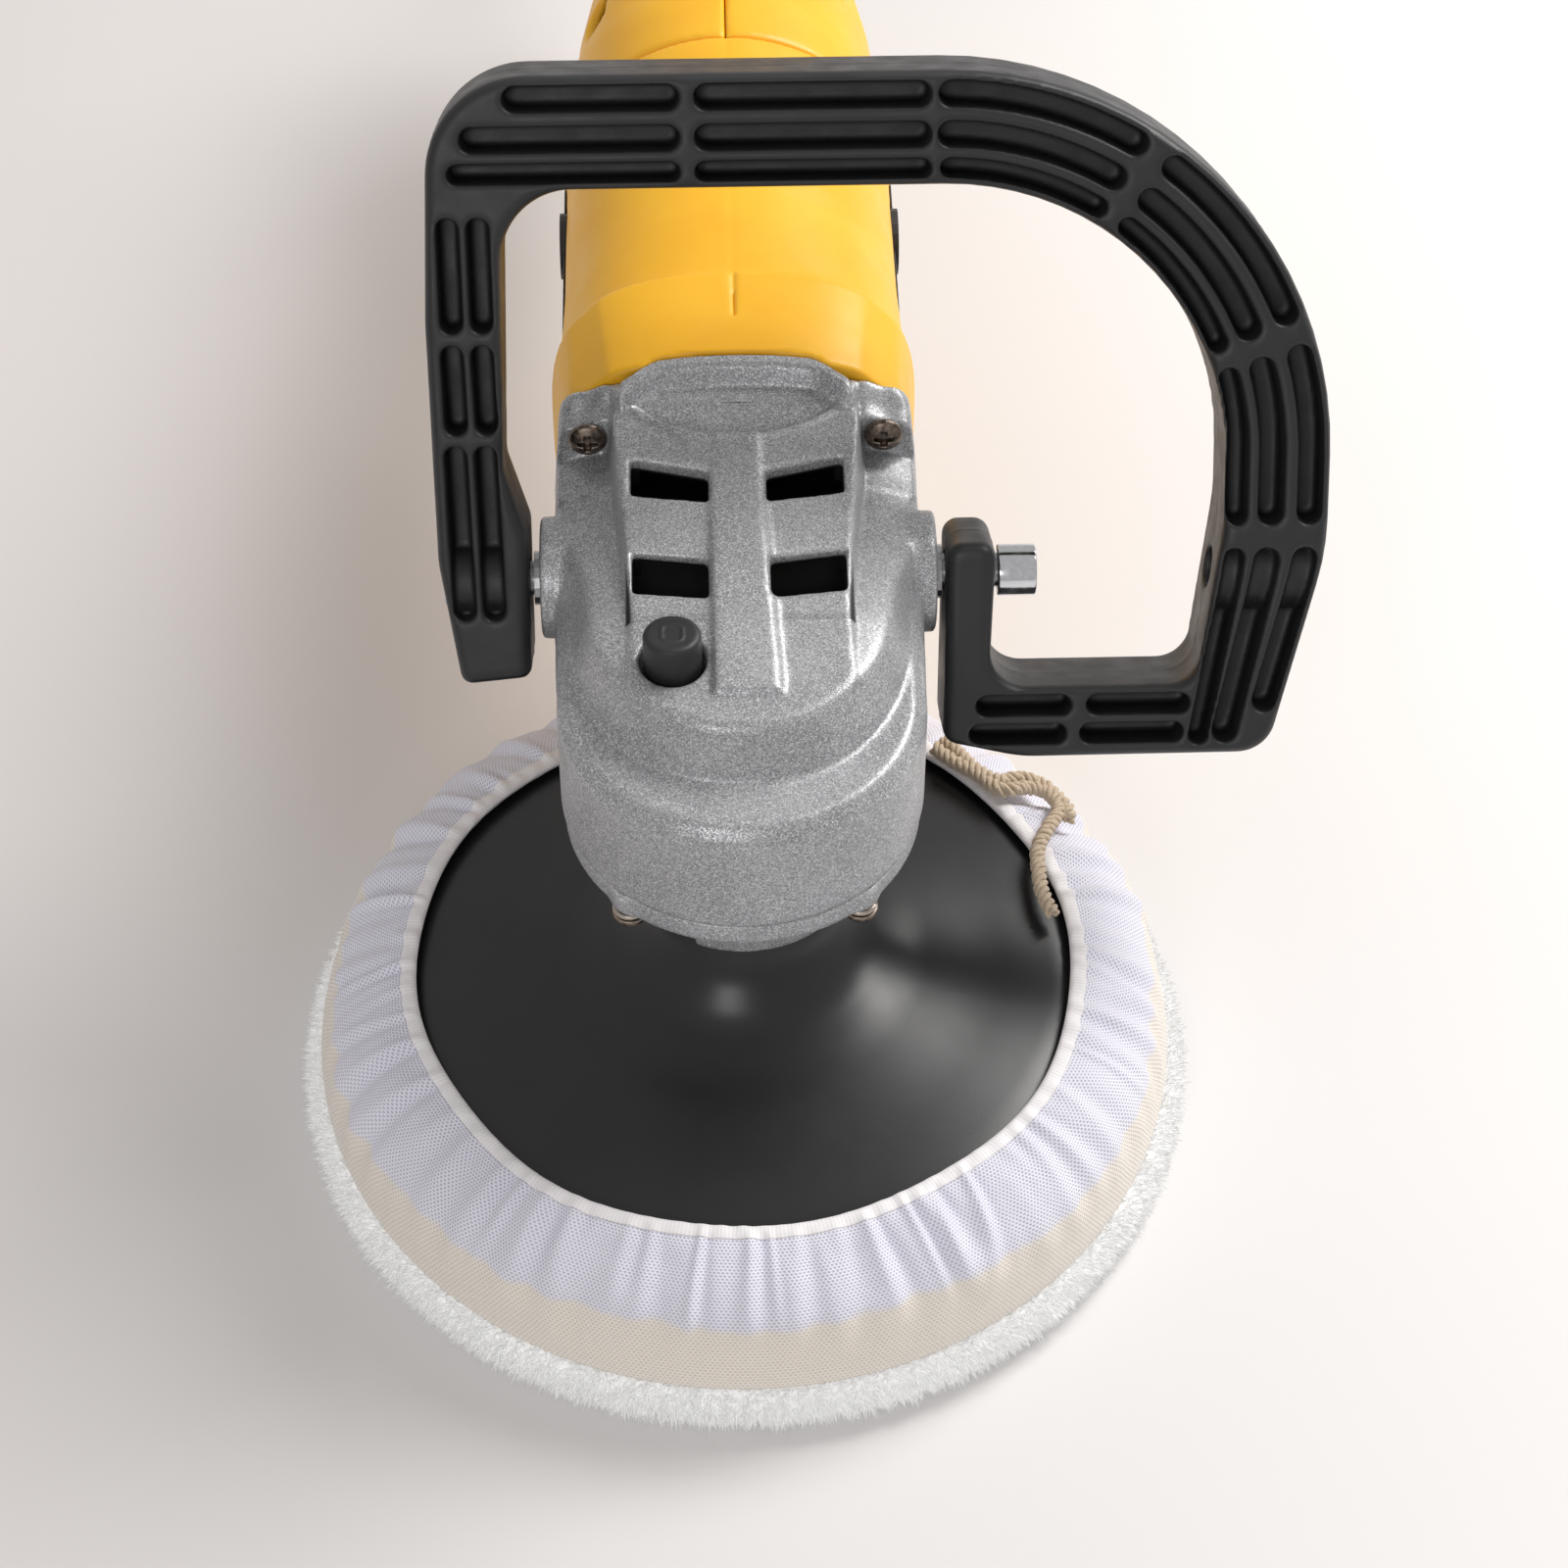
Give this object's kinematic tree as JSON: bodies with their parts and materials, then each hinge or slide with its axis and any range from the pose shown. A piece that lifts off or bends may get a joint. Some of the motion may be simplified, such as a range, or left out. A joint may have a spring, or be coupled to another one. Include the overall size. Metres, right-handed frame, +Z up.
{
  "type": "rotary polisher",
  "caption": "Corded right-angle rotary polisher: silver gear housing, yellow motor body, black ribbed bail handle, backing plate with foam and a white plush bonnet.",
  "frame": {"origin": "on the spindle axis, in the plane of the bonnet's working face", "axes": "+Z up the spindle, +Y back along the motor and rear handle, +X towards the bail handle's wide bow"},
  "size_m": [0.2336, 0.5719, 0.2242],
  "materials": {
    "silver_paint": "cast aluminium with a sparkling silver paint",
    "yellow_plastic": "satin moulded housing plastic",
    "black_plastic": "fine-grained moulded black plastic",
    "plate_plastic": "semi-gloss moulded polypropylene",
    "steel": "machined steel",
    "chrome": "bright plated steel",
    "bronzed_steel": "dark passivated screw steel",
    "lamination": "stacked electrical steel",
    "copper": "copper",
    "brass": "stamped brass",
    "carbon": "pressed carbon",
    "felt": "felt",
    "circuit_board": "potted circuit board",
    "foam": "open-cell foam",
    "bonnet_cloth": "white mesh skirt and plush pile",
    "cotton": "twisted cotton cord",
    "cord_rubber": "flexible cord rubber"
  },
  "bodies": {
    "tool_body": {"gear_housing": "silver_paint", "bearing_retainer": "silver_paint", "retainer_screw_1": "bronzed_steel", "retainer_screw_2": "bronzed_steel", "retainer_screw_3": "bronzed_steel", "retainer_screw_4": "bronzed_steel", "housing_screw_1": "bronzed_steel", "housing_screw_2": "bronzed_steel", "housing_screw_3": "bronzed_steel", "housing_screw_4": "bronzed_steel", "spindle_bearing_lower": "steel", "spindle_bearing_upper": "steel", "dust_seal": "felt", "lock_spring": "steel", "armature_bearing_front": "steel", "armature_bearing_rear": "steel", "fan_baffle": "black_plastic", "stator_core": "lamination", "field_coil_upper": "copper", "field_coil_lower": "copper", "brush_holder_left": "brass", "brush_holder_right": "brass", "carbon_brush_left": "carbon", "carbon_brush_right": "carbon", "brush_cap_left": "black_plastic", "brush_cap_right": "black_plastic", "motor_housing": "yellow_plastic", "rear_handle_left": "yellow_plastic", "rear_handle_right": "yellow_plastic", "handle_screw_1": "bronzed_steel", "handle_screw_2": "bronzed_steel", "trigger_pin": "steel", "switch_body": "black_plastic", "speed_controller": "circuit_board", "cord_clamp": "black_plastic", "cord_guard": "cord_rubber", "power_cord": "cord_rubber", "plug": "cord_rubber", "handle_bolt_left": "chrome", "handle_bolt_right": "chrome", "handle_spacer_left": "steel", "handle_spacer_right": "steel"},
    "spindle_body": {"spindle": "steel", "bevel_gear": "steel", "backing_plate": "plate_plastic", "foam_pad": "foam", "bonnet": "bonnet_cloth", "drawstring": "cotton"},
    "armature_body": {"armature_shaft": "steel", "bevel_pinion": "steel", "armature_core": "lamination", "armature_winding": "copper", "commutator": "copper", "cooling_fan": "black_plastic"},
    "lock_body": {"lock_button": "black_plastic", "lock_pin": "steel"},
    "trigger_body": {"trigger": "black_plastic"},
    "lock_on_body": {"lock_on_button": "black_plastic"},
    "dial_body": {"speed_dial": "black_plastic"},
    "bail_body": {"loop_handle": "black_plastic"}
  },
  "joints": [
    {"name": "spindle_spin", "type": "hinge", "parent": "tool_body", "child": "spindle_body", "pos_m": [0, 0, 0.09], "axis": [0, 0, 1], "continuous": true},
    {"name": "armature_spin", "type": "hinge", "parent": "tool_body", "child": "armature_body", "pos_m": [0, 0.1, 0.112], "axis": [0, 1, 0], "continuous": true},
    {"name": "lock_button_press", "type": "slide", "parent": "tool_body", "child": "lock_body", "axis": [0, 0, -1], "range_m": [0, 0.0035], "deforming": ["lock_spring"]},
    {"name": "trigger_squeeze", "type": "hinge", "parent": "tool_body", "child": "trigger_body", "pos_m": [0, 0.273, 0.089], "axis": [1, 0, 0], "range_deg": [0, 7]},
    {"name": "lock_on_press", "type": "slide", "parent": "tool_body", "child": "lock_on_body", "axis": [1, 0, 0], "range_m": [0, 0.0025]},
    {"name": "speed_dial_turn", "type": "hinge", "parent": "tool_body", "child": "dial_body", "pos_m": [0, 0.348, 0.1185], "axis": [1, 0, 0], "range_deg": [0, 270]},
    {"name": "bail_tilt", "type": "hinge", "parent": "tool_body", "child": "bail_body", "pos_m": [0, 0.045, 0.12], "axis": [1, 0, 0], "range_deg": [-20, 60]}
  ],
  "couplings": [
    {"joint": "armature_spin", "follows": "spindle_spin", "ratio": 4}
  ]
}
